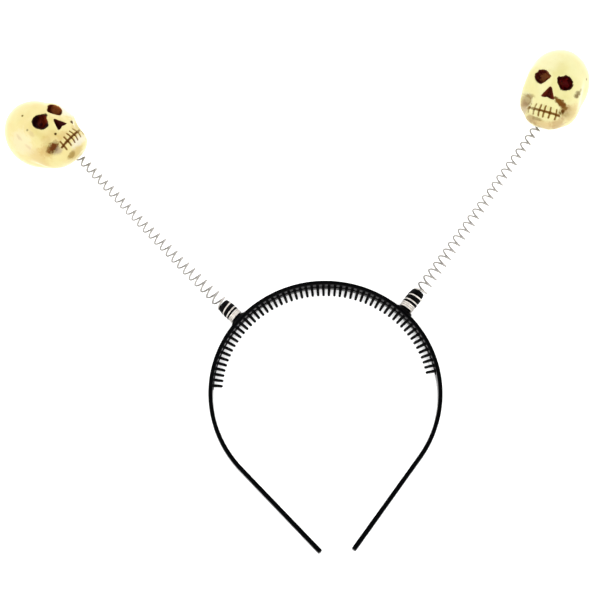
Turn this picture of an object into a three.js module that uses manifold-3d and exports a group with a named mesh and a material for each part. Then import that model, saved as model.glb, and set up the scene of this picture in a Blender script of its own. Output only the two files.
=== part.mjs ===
import * as THREE from 'three';
import { mergeVertices } from 'three/addons/utils/BufferGeometryUtils.js';
import Module from 'manifold-3d';

const wasm = await Module();
wasm.setup();

// Sizes in millimetres and degrees: the headband lies on its edge, legs towards -Y, +Z up

const STRIP_BEVEL = 0.45;
const TIP_ROUNDING = 0.7;
const SIDE_STEPS = 8;

// Centre line of one half of the strip, walked from the crown to the tip of the leg
const STRIP_RUNS = [
  { run: 'crown', radius: 62.5, turn: 54 },
  { run: 'side', radius: 59.5, turn: 76 },
  { run: 'leg', radius: 0, length: 61 },
];

// Width and thickness of the strip, by share of the way from the crown to the tip
const STRIP_SIZES = [
  { share: 0, width: 10, thickness: 1.9 },
  { share: 0.3, width: 9.8, thickness: 1.9 },
  { share: 0.75, width: 6, thickness: 2.25 },
  { share: 1, width: 5, thickness: 2.45 },
];

const TOOTH_COUNT = 55;
const TOOTH_SPREAD = 161;

// Rings of one comb tooth, from its root inside the strip to its end
const TOOTH_RINGS = [
  { ring: 'root', reach: -0.4, halfWidth: 0.74, halfDepth: 1 },
  { ring: 'end', reach: 5.3, halfWidth: 0.6, halfDepth: 0.7 },
];

const POST_SIDES = 10;

// Each post: angle from the crown, lean towards it, gap under its middle, length and thread stretch
const POSTS = [
  { side: 'left', sign: -1, angle: 43.9, lean: 1.5, seatGap: 0.15, length: 12.5, stretch: 0.93 },
  { side: 'right', sign: 1, angle: 46, lean: 5, seatGap: 0.4, length: 14.1, stretch: 1.13 },
];

// Outline of a post, with heights up from its foot or down from its end
const POST_PROFILE = [
  { level: 'flange foot', radius: 4.9, from: 'foot', height: 0 },
  { level: 'flange rim', radius: 4.9, from: 'foot', height: 0.5 },
  { level: 'flange top', radius: 4.6, from: 'foot', height: 0.72 },
  { level: 'core foot', radius: 2.75, from: 'foot', height: 0.72 },
  { level: 'core', radius: 2.75, from: 'end', height: 0.4 },
  { level: 'core end', radius: 2.4, from: 'end', height: 0 },
];

const WIRE_RADIUS = 0.36;
const WIRE_SIDES = 5;
const STEPS_PER_TURN = 9;
const THREAD_CLEARANCE = 0.2;
const THREAD_FROM = 2.25;
const THREAD_TO = 5.4;
const THREAD_RADIUS = 4;
const THREAD_END_GAP = 0.3;
const SPRING_FOOT = 1.35;
const SPRING_BEND = 0.3;

// The spring from the flange to the skull: the free turns share the length that the others leave
const SPRING_TURNS = [
  { part: 'closed turns', turns: 3, rise: 1, onThread: false, radius: 3.45 },
  { part: 'opening turn', turns: 1, rise: 2.4, onThread: true, radius: 3.45 },
  { part: 'thread turn', turns: 1, rise: 3.5, onThread: true, radius: 3.45 },
  { part: 'free turns', turns: 26, rise: 0, onThread: false, radius: 2.15 },
  { part: 'turn in the skull', turns: 1, rise: 2.4, onThread: false, radius: 2.15 },
];

// Each skull as it lies: where it is, where its crown points, how it is rolled and its spring's seat
const LYING_SKULLS = [
  { side: 'left', x: -144.8, y: 152.4, heading: 136.8, rise: 8.4, spin: 28.5, seatX: 3.8, seatY: -4.5 },
  { side: 'right', x: 140.2, y: 161.7, heading: 67.3, rise: 19, spin: -10.8, seatX: -1.5, seatY: -6 },
];

const SKULL_DETAIL = 5;
const SKULL_BLEND = 4;
const SKULL_FLOOR = -20.3;
const SOCKET_RADIUS = 2.85;
const SOCKET_DEPTH = 5;

// Rounded masses of the skull: its face looks to -Y, its crown to +Z, and x is mirrored
const SKULL_MASSES = [
  { mass: 'cranium', x: 0, y: -0.6, z: 5.6, rx: 17.4, ry: 17.5, rz: 19.2 },
  { mass: 'lower head', x: 0, y: -5.6, z: -6, rx: 15.7, ry: 13.2, rz: 13.8 },
  { mass: 'cheekbone', x: 10.4, y: -10.3, z: -3.4, rx: 4.3, ry: 5, rz: 3.3 },
  { mass: 'eye rim', x: 10.7, y: -9.8, z: 3.6, rx: 5.4, ry: 6.3, rz: 7.2 },
  { mass: 'tooth arch', x: 0, y: -9, z: -12.3, rx: 9.6, ry: 8.6, rz: 5.9 },
  { mass: 'chin', x: 0, y: -11.3, z: -16.1, rx: 9, ry: 6.3, rz: 4.8 },
];

// Shallow dips that are smoothed into the masses
const SKULL_DIPS = [
  { dip: 'temple', x: 22.1, y: -11.5, z: 7.3, rx: 3.8, ry: 6.3, rz: 6.3 },
  { dip: 'cheek hollow', x: 13, y: -16.7, z: -9.5, rx: 3.5, ry: 4.7, rz: 3.5 },
  { dip: 'lip', x: 0, y: -21.4, z: -17.2, rx: 7.3, ry: 4.2, rz: 1.4 },
];

const EYE = { x: 6.7, y: -17.2, z: 5.4, rx: 4.3, ry: 5.4, rz: 4.1, lean: 12 };
const NOSE = { top: 1.3, foot: -5, halfWidth: 4.1, front: -25, back: -14.8, backShare: 0.6 };
const MOUTH = { axisY: -7.3, z: -12.6, halfAngle: 47, width: 0.7, depth: 0.7, steps: 6 };
const TOOTH_LINES = { count: 7, halfAngle: 43, reach: 3.1, width: 0.6, depth: 0.55 };

const rad = THREE.MathUtils.degToRad;
const lerp = THREE.MathUtils.lerp;

// Plain solids and their cuts

function volumeOf(positions, index) {
  const [a, b, c] = [new THREE.Vector3(), new THREE.Vector3(), new THREE.Vector3()];
  let volume = 0;
  for (let i = 0; i < index.length; i += 3) {
    a.fromArray(positions, 3 * index[i]);
    b.fromArray(positions, 3 * index[i + 1]);
    c.fromArray(positions, 3 * index[i + 2]);
    volume += a.dot(b.cross(c)) / 6;
  }
  return volume;
}

// A closed solid through rings of points that all have the same count
function loft(rings) {
  const count = rings[0].length;
  const positions = rings.flat().flatMap((p) => p.toArray());
  const index = [];
  for (let r = 0; r + 1 < rings.length; r += 1) {
    for (let i = 0; i < count; i += 1) {
      const a = r * count + i;
      const b = r * count + ((i + 1) % count);
      index.push(a, b, b + count, a, b + count, a + count);
    }
  }
  const last = (rings.length - 1) * count;
  for (let i = 1; i + 1 < count; i += 1) {
    index.push(0, i + 1, i, last, last + i, last + i + 1);
  }
  if (volumeOf(positions, index) < 0) index.reverse();
  const geometry = new THREE.BufferGeometry();
  geometry.setAttribute('position', new THREE.Float32BufferAttribute(positions, 3));
  geometry.setIndex(index);
  return geometry;
}

function welded(geometry) {
  geometry.deleteAttribute('normal');
  geometry.deleteAttribute('uv');
  return mergeVertices(geometry, 1e-4);
}

function toSolid(geometry) {
  const vertProperties = new Float32Array(geometry.getAttribute('position').array);
  const triVerts = new Uint32Array(geometry.getIndex().array);
  return new wasm.Manifold(new wasm.Mesh({ numProp: 3, vertProperties, triVerts }));
}

function toGeometry(solid) {
  const mesh = solid.getMesh();
  const geometry = new THREE.BufferGeometry();
  geometry.setAttribute('position', new THREE.Float32BufferAttribute(mesh.vertProperties, 3));
  geometry.setIndex([...mesh.triVerts]);
  return geometry;
}

const joined = (geometries) => toGeometry(geometries.map(toSolid).reduce((all, one) => all.add(one)));

function cutBy(geometry, cutters) {
  const start = toSolid(geometry);
  return toGeometry(cutters.map(toSolid).reduce((left, cutter) => left.subtract(cutter), start));
}

// Headband: one strip with a comb of teeth inside its crown

const runLength = (run) => (run.radius ? run.radius * rad(run.turn) : run.length);
const STRIP_HALF = STRIP_RUNS.reduce((sum, run) => sum + runLength(run), 0);

// Distance of a tooth from the crown along the strip
const CROWN_TOOTH = (TOOTH_COUNT - 1) / 2;
const TOOTH_STEP = rad(TOOTH_SPREAD / (TOOTH_COUNT - 1)) * STRIP_RUNS[0].radius;
const toothPlace = (i) => TOOTH_STEP * (i - CROWN_TOOTH);

// Where the centre line is at a distance from the crown, and which way is outward there
function stripPoint(distance) {
  let left = Math.abs(distance);
  let turned = 0;
  let x = 0;
  let y = STRIP_RUNS[0].radius;
  for (const run of STRIP_RUNS) {
    const step = Math.min(left, runLength(run));
    const turn = run.radius ? step / run.radius : 0;
    const chord = run.radius ? 2 * run.radius * Math.sin(turn / 2) : step;
    x += chord * Math.cos(turned + turn / 2);
    y -= chord * Math.sin(turned + turn / 2);
    turned += turn;
    left -= step;
  }
  const sign = Math.sign(distance) || 1;
  return { x: sign * x, y, outX: sign * Math.sin(turned), outY: Math.cos(turned) };
}

function stripSize(distance, size) {
  const share = Math.min(Math.abs(distance) / STRIP_HALF, 1);
  const next = Math.max(1, STRIP_SIZES.findIndex((row) => row.share >= share));
  const [a, b] = [STRIP_SIZES[next - 1], STRIP_SIZES[next]];
  return lerp(a[size], b[size], (share - a.share) / (b.share - a.share));
}

const stripWidth = (distance) => stripSize(distance, 'width');
const stripFace = (distance) => stripSize(distance, 'thickness') / 2;

// A point beside the centre line: outward from it and up from the lower edge
function besideStrip(distance, outward, z) {
  const { x, y, outX, outY } = stripPoint(distance);
  return new THREE.Vector3(x + outward * outX, y + outward * outY, z);
}

function stripRing(distance, inset) {
  const half = stripFace(distance) - inset;
  const [low, high] = [inset, stripWidth(distance) - inset];
  const bevel = STRIP_BEVEL;
  const corners = [
    [half, low + bevel], [half, high - bevel], [half - bevel, high], [bevel - half, high],
    [-half, high - bevel], [-half, low + bevel], [bevel - half, low], [half - bevel, low],
  ];
  return corners.map(([outward, z]) => besideStrip(distance, outward, z));
}

// Stations of the strip: between pairs of teeth on the crown, then down the sides to the tips
function stripStations() {
  const stations = [];
  const combEnd = toothPlace(TOOTH_COUNT + 0.5);
  const legStart = STRIP_HALF - runLength(STRIP_RUNS[2]);
  for (let s = 0.5 * TOOTH_STEP; s < combEnd; s += 2 * TOOTH_STEP) stations.push(s);
  const from = stations[stations.length - 1];
  for (let i = 1; i <= SIDE_STEPS; i += 1) stations.push(lerp(from, legStart, i / SIDE_STEPS));
  stations.push(STRIP_HALF - TIP_ROUNDING);
  const mirrored = stations.slice().reverse().map((s) => -s);
  return [...mirrored, ...stations];
}

function strip() {
  const rings = stripStations().map((s) => stripRing(s, 0));
  const tip = STRIP_HALF;
  return loft([stripRing(-tip, TIP_ROUNDING / 2), ...rings, stripRing(tip, TIP_ROUNDING / 2)]);
}

function combTooth(i) {
  const s = toothPlace(i);
  const { outX, outY } = stripPoint(s);
  const along = new THREE.Vector3(outY, -outX, 0);
  const rings = TOOTH_RINGS.map(({ reach, halfWidth, halfDepth }) => {
    const middle = besideStrip(s, -stripFace(s) - reach, stripWidth(s) / 2);
    return [[-1, -1], [1, -1], [1, 1], [-1, 1]].map(([across, up]) => {
      const p = middle.clone().addScaledVector(along, across * halfWidth);
      p.z += up * halfDepth;
      return p;
    });
  });
  return loft(rings);
}

function headband() {
  const teeth = Array.from({ length: TOOTH_COUNT }, (_, i) => combTooth(i));
  return joined([strip(), ...teeth]);
}

// Skull: rounded masses blended into one, with dips, sockets and tooth lines

function ellipsoidDistance(p, row) {
  const [x, y, z] = [Math.abs(p.x) - row.x, p.y - row.y, p.z - row.z];
  const level = Math.hypot(x / row.rx, y / row.ry, z / row.rz);
  const slope = Math.hypot(x / row.rx ** 2, y / row.ry ** 2, z / row.rz ** 2);
  return slope > 0 ? (level * (level - 1)) / slope : -Math.min(row.rx, row.ry, row.rz);
}

// Smaller of two distances, rounded where they are close
function blended(a, b, blend) {
  const share = Math.max(blend - Math.abs(a - b), 0) / blend;
  return Math.min(a, b) - (share * share * blend) / 4;
}

function skullDistance(p) {
  let distance = Infinity;
  for (const mass of SKULL_MASSES) {
    const d = ellipsoidDistance(p, mass);
    distance = distance === Infinity ? d : blended(distance, d, SKULL_BLEND);
  }
  for (const dip of SKULL_DIPS) {
    distance = -blended(-distance, ellipsoidDistance(p, dip), SKULL_BLEND);
  }
  return Math.max(distance, SKULL_FLOOR - p.z - 0.5);
}

// First place where a ray from inside leaves the skull
function skullSurface(origin, direction) {
  const at = (reach) => skullDistance(origin.clone().addScaledVector(direction, reach));
  let outside = 1;
  while (at(outside) < 0) outside += 0.5;
  let inside = outside - 1;
  for (let i = 0; i < 16; i += 1) {
    const middle = (inside + outside) / 2;
    if (at(middle) < 0) inside = middle;
    else outside = middle;
  }
  return origin.clone().addScaledVector(direction, inside);
}

function skullBody() {
  const geometry = welded(new THREE.IcosahedronGeometry(1, SKULL_DETAIL));
  const middle = new THREE.Vector3(0, -3, -2);
  const position = geometry.getAttribute('position');
  for (let i = 0; i < position.count; i += 1) {
    const direction = new THREE.Vector3().fromBufferAttribute(position, i).normalize();
    const p = skullSurface(middle, direction);
    position.setXYZ(i, p.x, p.y, p.z);
  }
  return geometry;
}

function eyeCutter(sign) {
  const geometry = welded(new THREE.SphereGeometry(1, 10, 6));
  geometry.scale(EYE.rx, EYE.ry, EYE.rz);
  geometry.rotateY(rad(sign * EYE.lean));
  geometry.translate(sign * EYE.x, EYE.y, EYE.z);
  return geometry;
}

function noseCutter() {
  const ring = (y, share) => {
    const middle = (NOSE.top + NOSE.foot) / 2;
    const corners = [[-1, 1], [-0.25, 0], [0.25, 0], [1, 1]];
    return corners.map(([across, down]) => {
      const z = lerp(NOSE.top, NOSE.foot, down);
      return new THREE.Vector3(across * NOSE.halfWidth * share, y, lerp(middle, z, share));
    });
  };
  return loft([ring(NOSE.front, 1.3), ring(-17, 1), ring(NOSE.back, NOSE.backShare)]);
}

// Place on the muzzle at an angle from straight ahead and a height
function muzzlePoint(angle, z) {
  const direction = new THREE.Vector3(Math.sin(rad(angle)), -Math.cos(rad(angle)), 0);
  return { point: skullSurface(new THREE.Vector3(0, MOUTH.axisY, z), direction), direction };
}

// A groove that follows places on the muzzle, spread to both sides along a given direction
function groove(places, spread, depth) {
  return loft(places.map(({ point, direction }) => [
    point.clone().addScaledVector(direction, -depth),
    point.clone().addScaledVector(direction, 1.2).addScaledVector(spread, -2),
    point.clone().addScaledVector(direction, 1.2).addScaledVector(spread, 2),
  ]));
}

function mouthCutters() {
  const cutters = [];
  const slit = [];
  for (let i = 0; i <= MOUTH.steps; i += 1) {
    slit.push(muzzlePoint(MOUTH.halfAngle * ((2 * i) / MOUTH.steps - 1), MOUTH.z));
  }
  cutters.push(groove(slit, new THREE.Vector3(0, 0, MOUTH.width / 2), MOUTH.depth));
  for (let i = 0; i < TOOTH_LINES.count; i += 1) {
    const angle = TOOTH_LINES.halfAngle * ((2 * i) / (TOOTH_LINES.count - 1) - 1);
    const line = [-1, 0, 1].map((end) => muzzlePoint(angle, MOUTH.z + end * TOOTH_LINES.reach));
    const across = new THREE.Vector3(Math.cos(rad(angle)), Math.sin(rad(angle)), 0);
    cutters.push(groove(line, across.multiplyScalar(TOOTH_LINES.width / 2), TOOTH_LINES.depth));
  }
  return cutters;
}

function carvedSkull() {
  return cutBy(skullBody(), [eyeCutter(-1), eyeCutter(1), noseCutter(), ...mouthCutters()]);
}

// Turns a skull from its own upright frame to the way it lies
function lyingTurn({ heading, rise, spin }) {
  const [h, r, s] = [rad(heading), rad(rise), rad(spin)];
  const crown = new THREE.Vector3(Math.cos(r) * Math.cos(h), Math.cos(r) * Math.sin(h), Math.sin(r));
  const upmost = new THREE.Vector3(-Math.sin(r) * Math.cos(h), -Math.sin(r) * Math.sin(h), Math.cos(r));
  const aside = crown.clone().cross(upmost);
  const face = upmost.multiplyScalar(Math.cos(s)).addScaledVector(aside, Math.sin(s));
  const back = face.negate();
  return new THREE.Matrix4().makeBasis(back.clone().cross(crown), back, crown);
}

// Spring posts, springs and the skulls that they carry

// Post frame: foot on the outer face of the strip, pointing out and leaning a little to the crown
function postFrame({ sign, angle, lean, seatGap }) {
  const s = sign * rad(angle) * STRIP_RUNS[0].radius;
  const foot = besideStrip(s, stripFace(s) + seatGap, stripWidth(s) / 2);
  const way = rad(angle - lean);
  return { foot, out: new THREE.Vector3(sign * Math.sin(way), Math.cos(way), 0) };
}

function postBody({ foot, out }, length) {
  const heightOf = ({ from, height }) => (from === 'end' ? length - height : height);
  const outline = POST_PROFILE.map((row) => new THREE.Vector2(row.radius, heightOf(row)));
  const closed = [new THREE.Vector2(0, 0), ...outline, new THREE.Vector2(0, length)];
  const geometry = welded(new THREE.LatheGeometry(closed, POST_SIDES));
  const turn = new THREE.Quaternion().setFromUnitVectors(new THREE.Vector3(0, 1, 0), out);
  geometry.applyQuaternion(turn);
  geometry.translate(foot.x, foot.y, foot.z);
  return geometry;
}

// Line through the middle of a spring: straight on its post, then bent gently to the skull
function springLine({ foot, out }, seat) {
  const start = foot.clone().addScaledVector(out, SPRING_FOOT);
  const bend = start.clone().addScaledVector(out, SPRING_BEND * start.distanceTo(seat));
  return new THREE.QuadraticBezierCurve3(start, bend, seat);
}

// Turns of a spring on its line, each with the rise of one turn: the free ones get what is left
function turnsOn(line, stretch) {
  const rows = SPRING_TURNS.map((row) => ({ ...row, rise: row.rise * (row.onThread ? stretch : 1) }));
  const fixed = rows.reduce((sum, row) => sum + row.turns * row.rise, 0);
  const free = rows.find((row) => row.rise === 0);
  free.rise = (line.getLength() - fixed) / free.turns;
  return rows;
}

// Height along the line and coil radius after a number of turns
function coilAt(turn, rows) {
  let height = 0;
  let left = turn;
  let radius = rows[0].radius;
  for (const row of rows) {
    const step = Math.min(left, row.turns);
    height += step * row.rise;
    radius = lerp(radius, row.radius, step / row.turns);
    left -= step;
  }
  return { height, radius };
}

// Middle of the spring after a number of turns, and the way out from it to the wire
function springFrame(line, rows, turn) {
  const { height, radius } = coilAt(turn, rows);
  const u = THREE.MathUtils.clamp(height / line.getLength(), 0, 1);
  const ahead = line.getTangentAt(u);
  const side = ahead.clone().cross(new THREE.Vector3(0, 0, 1)).normalize();
  const lift = side.clone().cross(ahead);
  const angle = -2 * Math.PI * turn;
  const outward = side.multiplyScalar(Math.cos(angle)).addScaledVector(lift, Math.sin(angle));
  return { middle: line.getPointAt(u), outward, ahead, radius };
}

const wirePoint = ({ middle, outward, radius }) => middle.clone().addScaledVector(outward, radius);

function coil(line, rows) {
  const turns = rows.reduce((sum, row) => sum + row.turns, 0);
  const rings = [];
  for (let step = 0; step <= turns * STEPS_PER_TURN; step += 1) {
    const at = (offset) => springFrame(line, rows, (step + offset) / STEPS_PER_TURN);
    const { outward } = at(0);
    const along = wirePoint(at(0.05)).sub(wirePoint(at(-0.05)));
    const across = along.cross(outward).normalize();
    rings.push(Array.from({ length: WIRE_SIDES }, (_, i) => {
      const a = (2 * Math.PI * i) / WIRE_SIDES;
      const p = wirePoint(at(0)).addScaledVector(outward, WIRE_RADIUS * Math.cos(a));
      return p.addScaledVector(across, WIRE_RADIUS * Math.sin(a));
    }));
  }
  return loft(rings);
}

// Ridge that winds round a post between one turn of wire and the next
function threadRidge({ foot, out }, rows, end) {
  const side = out.clone().cross(new THREE.Vector3(0, 0, 1));
  const margin = WIRE_RADIUS + THREAD_CLEARANCE;
  const rings = [];
  const first = Math.ceil(THREAD_FROM * STEPS_PER_TURN);
  for (let step = first; step <= THREAD_TO * STEPS_PER_TURN; step += 1) {
    const turn = step / STEPS_PER_TURN;
    const angle = -2 * Math.PI * turn;
    const outward = side.clone().multiplyScalar(Math.cos(angle));
    outward.z += Math.sin(angle);
    const low = SPRING_FOOT + coilAt(turn, rows).height + margin;
    const high = Math.min(SPRING_FOOT + coilAt(turn + 1, rows).height - margin, end);
    if (high - low < 0.1) continue;
    const corner = (reach, height) =>
      foot.clone().addScaledVector(outward, reach).addScaledVector(out, height);
    rings.push([corner(2, low), corner(THREAD_RADIUS, low), corner(THREAD_RADIUS, high), corner(2, high)]);
  }
  return loft(rings);
}

function threadedPost(frame, rows, length) {
  return joined([postBody(frame, length), threadRidge(frame, rows, length - THREAD_END_GAP)]);
}

function socketCutter(line) {
  const end = line.getPoint(1);
  const ahead = line.getTangent(1);
  const length = 4 * SOCKET_DEPTH;
  const geometry = welded(new THREE.CylinderGeometry(SOCKET_RADIUS, SOCKET_RADIUS, length, 12));
  geometry.applyQuaternion(new THREE.Quaternion().setFromUnitVectors(new THREE.Vector3(0, 1, 0), ahead));
  const middle = end.addScaledVector(ahead, 0.4 - length / 2);
  geometry.translate(middle.x, middle.y, middle.z);
  return geometry;
}

function lowestPoint(geometry) {
  geometry.computeBoundingBox();
  return geometry.boundingBox.min.z;
}

// One bopper: post on the band, spring on the post, skull on the end of the spring
function bopper(postRow, row) {
  const frame = postFrame(postRow);
  const turn = lyingTurn(row);
  const lying = carvedSkull().applyMatrix4(turn);
  const place = new THREE.Vector3(row.x, row.y, -lowestPoint(lying));
  lying.translate(place.x, place.y, place.z);
  const seat = new THREE.Vector3(row.seatX, row.seatY, SKULL_FLOOR + SOCKET_DEPTH);
  seat.applyMatrix4(turn).add(place);
  const line = springLine(frame, seat);
  const rows = turnsOn(line, postRow.stretch);
  return {
    post: threadedPost(frame, rows, postRow.length),
    spring: coil(line, rows),
    skull: cutBy(lying, [socketCutter(line)]),
  };
}

// The pieces, each with its own material

const LOOKS = {
  headband: { color: 0x0b0b0c, roughness: 0.28, metalness: 0 },
  post: { color: 0x101011, roughness: 0.35, metalness: 0 },
  spring: { color: 0xc9cbcd, roughness: 0.25, metalness: 1 },
  skull: { color: 0xefe3a6, roughness: 0.4, metalness: 0 },
};

function piece(name, look, geometry) {
  const faceted = geometry.toNonIndexed();
  faceted.computeVertexNormals();
  const mesh = new THREE.Mesh(faceted, new THREE.MeshStandardMaterial(LOOKS[look]));
  mesh.name = name;
  return mesh;
}

const group = new THREE.Group();
group.name = 'skull_headband';
group.add(piece('headband', 'headband', headband()));
LYING_SKULLS.forEach((row, i) => {
  const { post, spring, skull } = bopper(POSTS[i], row);
  group.add(piece(`post_${row.side}`, 'post', post));
  group.add(piece(`spring_${row.side}`, 'spring', spring));
  group.add(piece(`skull_${row.side}`, 'skull', skull));
});

// The origin is under the middle of the whole part
const box = new THREE.Box3().setFromObject(group);
const middle = box.getCenter(new THREE.Vector3());
group.children.forEach((mesh) => mesh.geometry.translate(-middle.x, -middle.y, -box.min.z));

export default group;
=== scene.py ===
import math

import bpy
import numpy as np
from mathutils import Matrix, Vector


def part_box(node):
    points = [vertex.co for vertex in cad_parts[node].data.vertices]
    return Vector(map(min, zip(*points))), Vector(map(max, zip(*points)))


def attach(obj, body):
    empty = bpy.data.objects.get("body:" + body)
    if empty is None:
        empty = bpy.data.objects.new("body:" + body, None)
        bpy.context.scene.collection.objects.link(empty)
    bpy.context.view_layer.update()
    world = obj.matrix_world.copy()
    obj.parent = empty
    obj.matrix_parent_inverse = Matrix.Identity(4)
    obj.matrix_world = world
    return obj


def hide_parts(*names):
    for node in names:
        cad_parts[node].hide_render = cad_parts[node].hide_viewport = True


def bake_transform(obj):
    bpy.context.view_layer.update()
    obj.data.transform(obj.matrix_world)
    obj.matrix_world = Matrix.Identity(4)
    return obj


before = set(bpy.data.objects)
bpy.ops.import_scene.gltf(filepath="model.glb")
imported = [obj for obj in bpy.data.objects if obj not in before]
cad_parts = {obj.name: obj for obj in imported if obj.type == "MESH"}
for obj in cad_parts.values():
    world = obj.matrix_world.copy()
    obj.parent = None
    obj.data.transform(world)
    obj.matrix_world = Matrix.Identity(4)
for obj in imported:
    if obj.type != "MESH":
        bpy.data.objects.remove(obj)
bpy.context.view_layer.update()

MM = 0.001
UP = np.array((0.0, 0.0, 1.0))

# Headband strip, in millimetres and degrees from the middle of its crown arc

CROWN_RADIUS, CROWN_TURN = 62.5, 54
SIDE_RADIUS, SIDE_TURN = 59.5, 76
LEG_LENGTH = 61
# Outer face of the solid strip from its centre line, then the skin's middle and its edge and end rounding
SOLID_FACE = 0.95
STRIP_MIDDLE, STRIP_CORNER, STRIP_END = -0.2, 0.35, 0.7
STRIP_STATIONS = 280
# Steps of a rounding, the share of an end's rounding that narrows the bar, and what corners lose by it
ROUND_STEPS, END_NARROWS, CORNER_LOSS, LEAST_CORNER = 4, 0.8, 0.3, 0.1
# Width and thickness of the strip, by share of the way from the crown to the tip
SIZE_SHARES = (0, 0.3, 0.75, 1)
WIDTHS = (10, 9.8, 6, 5)
THICKNESSES = (2.25, 2.25, 2.42, 2.58)
# Low rib along the roots of the comb teeth
RIB_HEIGHT, RIB_LOWER, RIB_REACH = 1.4, 0.4, 0.4
RIB_CORNER, RIB_END, RIB_PAST_TEETH = 0.25, 0.4, 2
RIB_STATIONS = 170

TOOTH_COUNT, TOOTH_SPREAD, TOOTH_LENGTH = 55, 161, 5.2
TOOTH_SIDES = 16
# Rings of one comb tooth, from its root in the strip to its rounded end
TOOTH_RINGS = (
    dict(reach=-0.5, half_width=0.84, half_depth=1.0),
    dict(reach=0.4, half_width=0.8, half_depth=0.97),
    dict(reach=0.8, half_width=0.77, half_depth=0.92),
    dict(reach=3.0, half_width=0.74, half_depth=0.84),
    dict(reach=TOOTH_LENGTH - 0.6, half_width=0.7, half_depth=0.74),
    dict(reach=TOOTH_LENGTH - 0.2, half_width=0.56, half_depth=0.6),
    dict(reach=TOOTH_LENGTH, half_width=0.3, half_depth=0.3),
)

# Spring posts by angle from the crown, then how far the spring's thread turns and closed turns are
# stretched, and its drift to the side
POSTS = {
    "left": dict(
        sign=-1, angle=43.9, lean=1.5, seat_gap=0.15, length=12.5, stretch=0.93, closed=1.0, drift=0
    ),
    "right": dict(
        sign=1, angle=46, lean=5, seat_gap=0.4, length=14.1, stretch=1.06, closed=1.13, drift=0.72
    ),
}
THREAD_RADIUS, THREAD_END_RADIUS, THREAD_ROOT = 4.1, 3.5, 2.3
THREAD_END_GAP, THREAD_TAPER, THREAD_CORNER, THREAD_CHAMFER = 0.2, 3.5, 0.22, 0.06
THREAD_FROM, THREAD_TO, THREAD_MARGIN, THREAD_LEAST = 2.15, 5.6, 0.48, 0.1
# Radius and height of the flange up from the foot, and of the core's end down from the post's end
FLANGE_PROFILE = (
    (0.6, 0), (4.75, 0), (4.9, 0.12), (4.9, 0.5), (4.82, 0.62), (4.6, 0.72), (2.9, 0.75), (2.75, 0.9),
)
CORE_END_PROFILE = ((2.75, -0.5), (2.65, -0.2), (2.4, -0.05), (0.6, 0))

# Where each skull lies, which way its crown points, how it is rolled and its spring's seat
SKULLS = {
    "left": dict(x=-144.8, y=152.4, heading=136.8, rise=8.4, spin=28.5, seat_x=3.8, seat_y=-4.5),
    "right": dict(x=140.2, y=161.7, heading=67.3, rise=19, spin=-10.8, seat_x=-1.5, seat_y=-6),
}

WIRE_RADIUS, WIRE_SIDES = 0.54, 8
SPRING_FOOT, SPRING_BEND, SPRING_HELD = 1.35, 0.3, 6
# Shares of the spring's line where its drift starts and how long it grows
DRIFT_FROM, DRIFT_RUN = 0.04, 0.1
# Turns over which the wire leaves the post
FREE_FROM, FREE_FULL = 4.9, 6.2
LINE_POINTS, LINE_PROBE = 400, 0.5
# Turns of a spring from the flange to the skull; the free turns share what length is left
SPRING_TURNS = (
    dict(part="closed turns", turns=3, rise=1, rises_with="closed", radius=3.45),
    dict(part="opening turn", turns=1, rise=2.4, rises_with="stretch", radius=3.45),
    dict(part="thread turn", turns=1, rise=3.5, rises_with="stretch", radius=3.45),
    dict(part="free turns", turns=26, rise=0, rises_with=None, radius=2.15),
    dict(part="turn in the skull", turns=1, rise=2.4, rises_with=None, radius=2.15),
)
SKULL_FLOOR, SOCKET_DEPTH = -20.3, 5

strip_low, strip_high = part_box("headband")
BAND_MIDDLE = Vector(
    ((strip_low.x + strip_high.x) / 2, strip_high.y - (CROWN_RADIUS + SOLID_FACE) * MM, 0)
)


# Meshes

def mesh_object(name, points, faces=(), edges=()):
    """A smooth mesh from points in millimetres, in the part's frame."""
    mesh = bpy.data.meshes.new(name)
    mesh.from_pydata((np.asarray(points) * MM).tolist(), edges, faces)
    mesh.validate()
    mesh.shade_smooth()
    thing = bpy.data.objects.new(name, mesh)
    bpy.context.scene.collection.objects.link(thing)
    return thing


def in_part(points):
    """Points of the band's own frame, moved to the part's frame, in millimetres."""
    return np.asarray(points) + np.array(BAND_MIDDLE) / MM


def loft(rings):
    """Points and faces of a closed skin through rings that all have the same count."""
    count, sides = len(rings), len(rings[0])
    points = np.concatenate([np.asarray(r) for r in rings])
    faces = []
    for r in range(count - 1):
        for i in range(sides):
            a, b = r * sides + i, r * sides + (i + 1) % sides
            faces.append((a, b, b + sides, a + sides))
    faces.append(tuple(range(sides))[::-1])
    faces.append(tuple((count - 1) * sides + i for i in range(sides)))
    return points, faces


def outward(thing):
    """Turns every face of a closed mesh outwards."""
    bpy.context.view_layer.objects.active = thing
    thing.select_set(True)
    bpy.ops.object.mode_set(mode="EDIT")
    bpy.ops.mesh.select_all(action="SELECT")
    bpy.ops.mesh.normals_make_consistent(inside=False)
    bpy.ops.object.mode_set(mode="OBJECT")
    thing.select_set(False)
    return thing


def together(name, *skins):
    """One mesh from several closed skins."""
    points, faces, start = [], [], 0
    for skin_points, skin_faces in skins:
        points.append(skin_points)
        faces += [tuple(i + start for i in face) for face in skin_faces]
        start += len(skin_points)
    return outward(mesh_object(name, np.concatenate(points), faces))


# Path of the strip

def strip_half():
    crown = CROWN_RADIUS * math.radians(CROWN_TURN)
    side = SIDE_RADIUS * math.radians(SIDE_TURN)
    return crown, side, crown + side + LEG_LENGTH


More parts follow.
